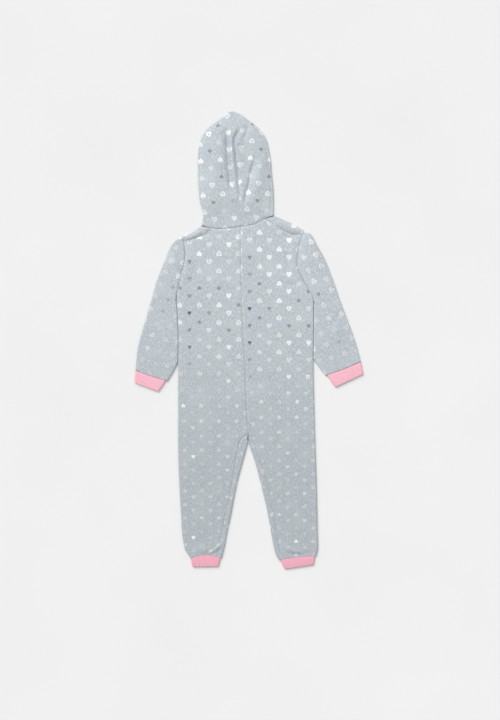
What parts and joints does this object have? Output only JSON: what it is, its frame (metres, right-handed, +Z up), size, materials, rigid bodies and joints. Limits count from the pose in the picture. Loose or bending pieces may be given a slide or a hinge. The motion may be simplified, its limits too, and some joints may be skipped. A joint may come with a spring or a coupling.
{
  "type": "hooded onesie pajama",
  "caption": "Child's hooded one-piece pajama laid flat, back up, with long sleeves, rib cuffs at wrists and ankles, and a front zip underneath.",
  "frame": {"origin": "middle of the garment's outline, on the surface that it lies on", "axes": "+Y from the ankles to the hood, +X to the wearer's right, +Z up out of the surface, through the back of the garment"},
  "size_m": [0.5606, 1.1216, 0.0146],
  "materials": {
    "heather_jersey": "brushed heather jersey in pale blue-grey with small silver foil hearts",
    "pink_rib": "soft pink rib knit",
    "zip_tape": "woven polyester zip tape with a coil chain",
    "zip_metal": "pale enamelled zip slider and pull tab"
  },
  "bodies": {
    "garment": {"back_left": "heather_jersey", "back_right": "heather_jersey", "front_left": "heather_jersey", "front_right": "heather_jersey", "sleeve_left": "heather_jersey", "sleeve_right": "heather_jersey", "hood_left": "heather_jersey", "hood_right": "heather_jersey", "wrist_cuff_left": "pink_rib", "wrist_cuff_right": "pink_rib", "ankle_cuff_left": "pink_rib", "ankle_cuff_right": "pink_rib", "zip_tape": "zip_tape", "zip_slider": "zip_metal"},
    "pull_tab": {"zip_pull": "zip_metal"}
  },
  "joints": [
    {"name": "pull_tab_hinge", "type": "hinge", "parent": "garment", "child": "pull_tab", "pos_m": [-0.02049, 0.21669, 0.00085], "axis": [1, 0, 0], "range_deg": [0, 150]}
  ]
}
